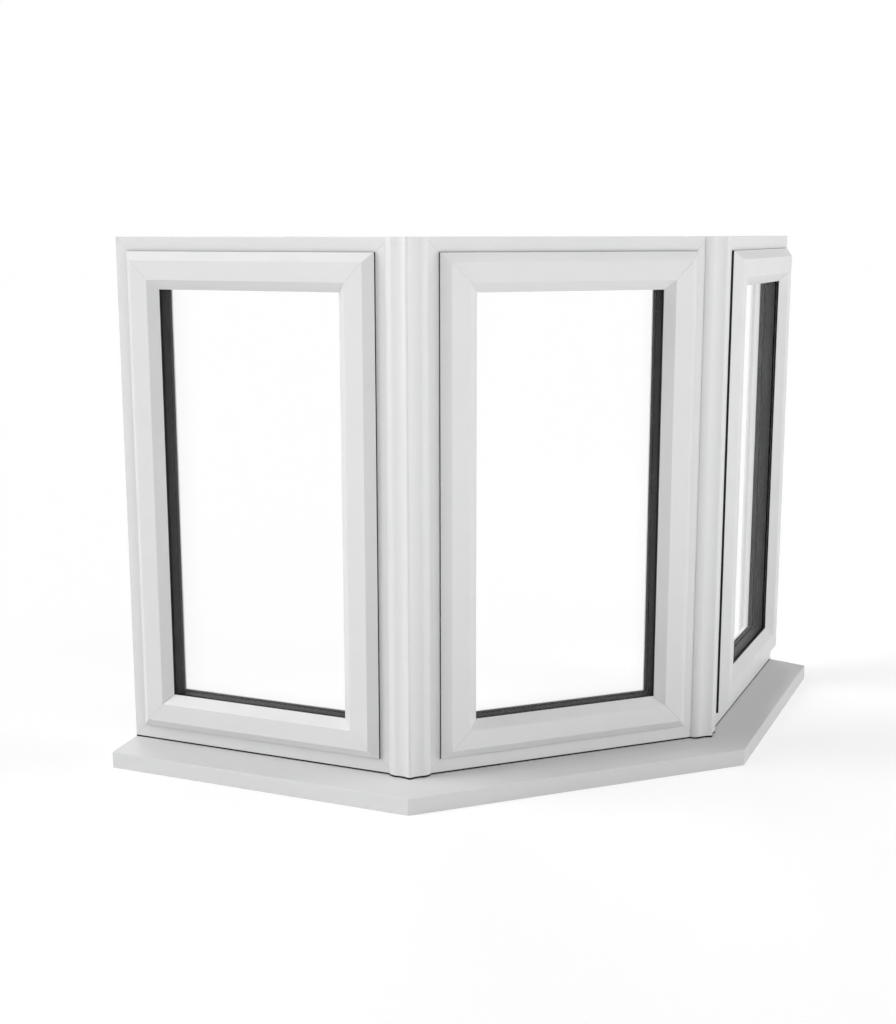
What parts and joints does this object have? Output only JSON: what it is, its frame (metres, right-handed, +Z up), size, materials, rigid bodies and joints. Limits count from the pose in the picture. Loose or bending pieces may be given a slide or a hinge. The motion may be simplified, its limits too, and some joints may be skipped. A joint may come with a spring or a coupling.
{
  "type": "bay window",
  "caption": "Angled bay window with side-hung casements in white PVC-U, double glazed, joined by bay posts on a mitred sill.",
  "frame": {"origin": "middle of the plan box, on the underside of the sill", "axes": "+X to the right seen from outside, +Y from outside into the room, +Z up"},
  "size_m": [1.6378, 0.5676, 1.0435],
  "materials": {
    "white_pvcu": "smooth extruded, satin gloss",
    "white_sill": "smooth extruded, satin gloss",
    "clear_glass": "clear float",
    "black_spacer": "matt",
    "black_gasket": "matt extruded",
    "white_handle": "powder coated",
    "mill_aluminium": "mill finish extrusion"
  },
  "bodies": {
    "root": {"left_outer_frame": "white_pvcu", "left_sash": "white_pvcu", "left_glazing_beads": "white_pvcu", "left_glass": "clear_glass", "left_spacer_bar": "black_spacer", "left_glass_gaskets": "black_gasket", "left_weather_seals": "black_gasket", "left_handle_plate": "white_handle", "left_handle_lever": "white_handle", "left_sill": "white_sill", "centre_outer_frame": "white_pvcu", "centre_sash": "white_pvcu", "centre_glazing_beads": "white_pvcu", "centre_glass": "clear_glass", "centre_spacer_bar": "black_spacer", "centre_glass_gaskets": "black_gasket", "centre_weather_seals": "black_gasket", "centre_handle_plate": "white_handle", "centre_handle_lever": "white_handle", "centre_sill": "white_sill", "right_outer_frame": "white_pvcu", "right_sash": "white_pvcu", "right_glazing_beads": "white_pvcu", "right_glass": "clear_glass", "right_spacer_bar": "black_spacer", "right_glass_gaskets": "black_gasket", "right_weather_seals": "black_gasket", "right_handle_plate": "white_handle", "right_handle_lever": "white_handle", "right_sill": "white_sill", "left_sill_end_cap": "white_sill", "left_bay_pole": "mill_aluminium", "left_post_adaptors": "mill_aluminium", "left_outside_cover": "white_pvcu", "left_inside_cover": "white_pvcu", "right_sill_end_cap": "white_sill", "right_bay_pole": "mill_aluminium", "right_post_adaptors": "mill_aluminium", "right_outside_cover": "white_pvcu", "right_inside_cover": "white_pvcu", "bedding_seal": "black_gasket"}
  },
  "joints": []
}
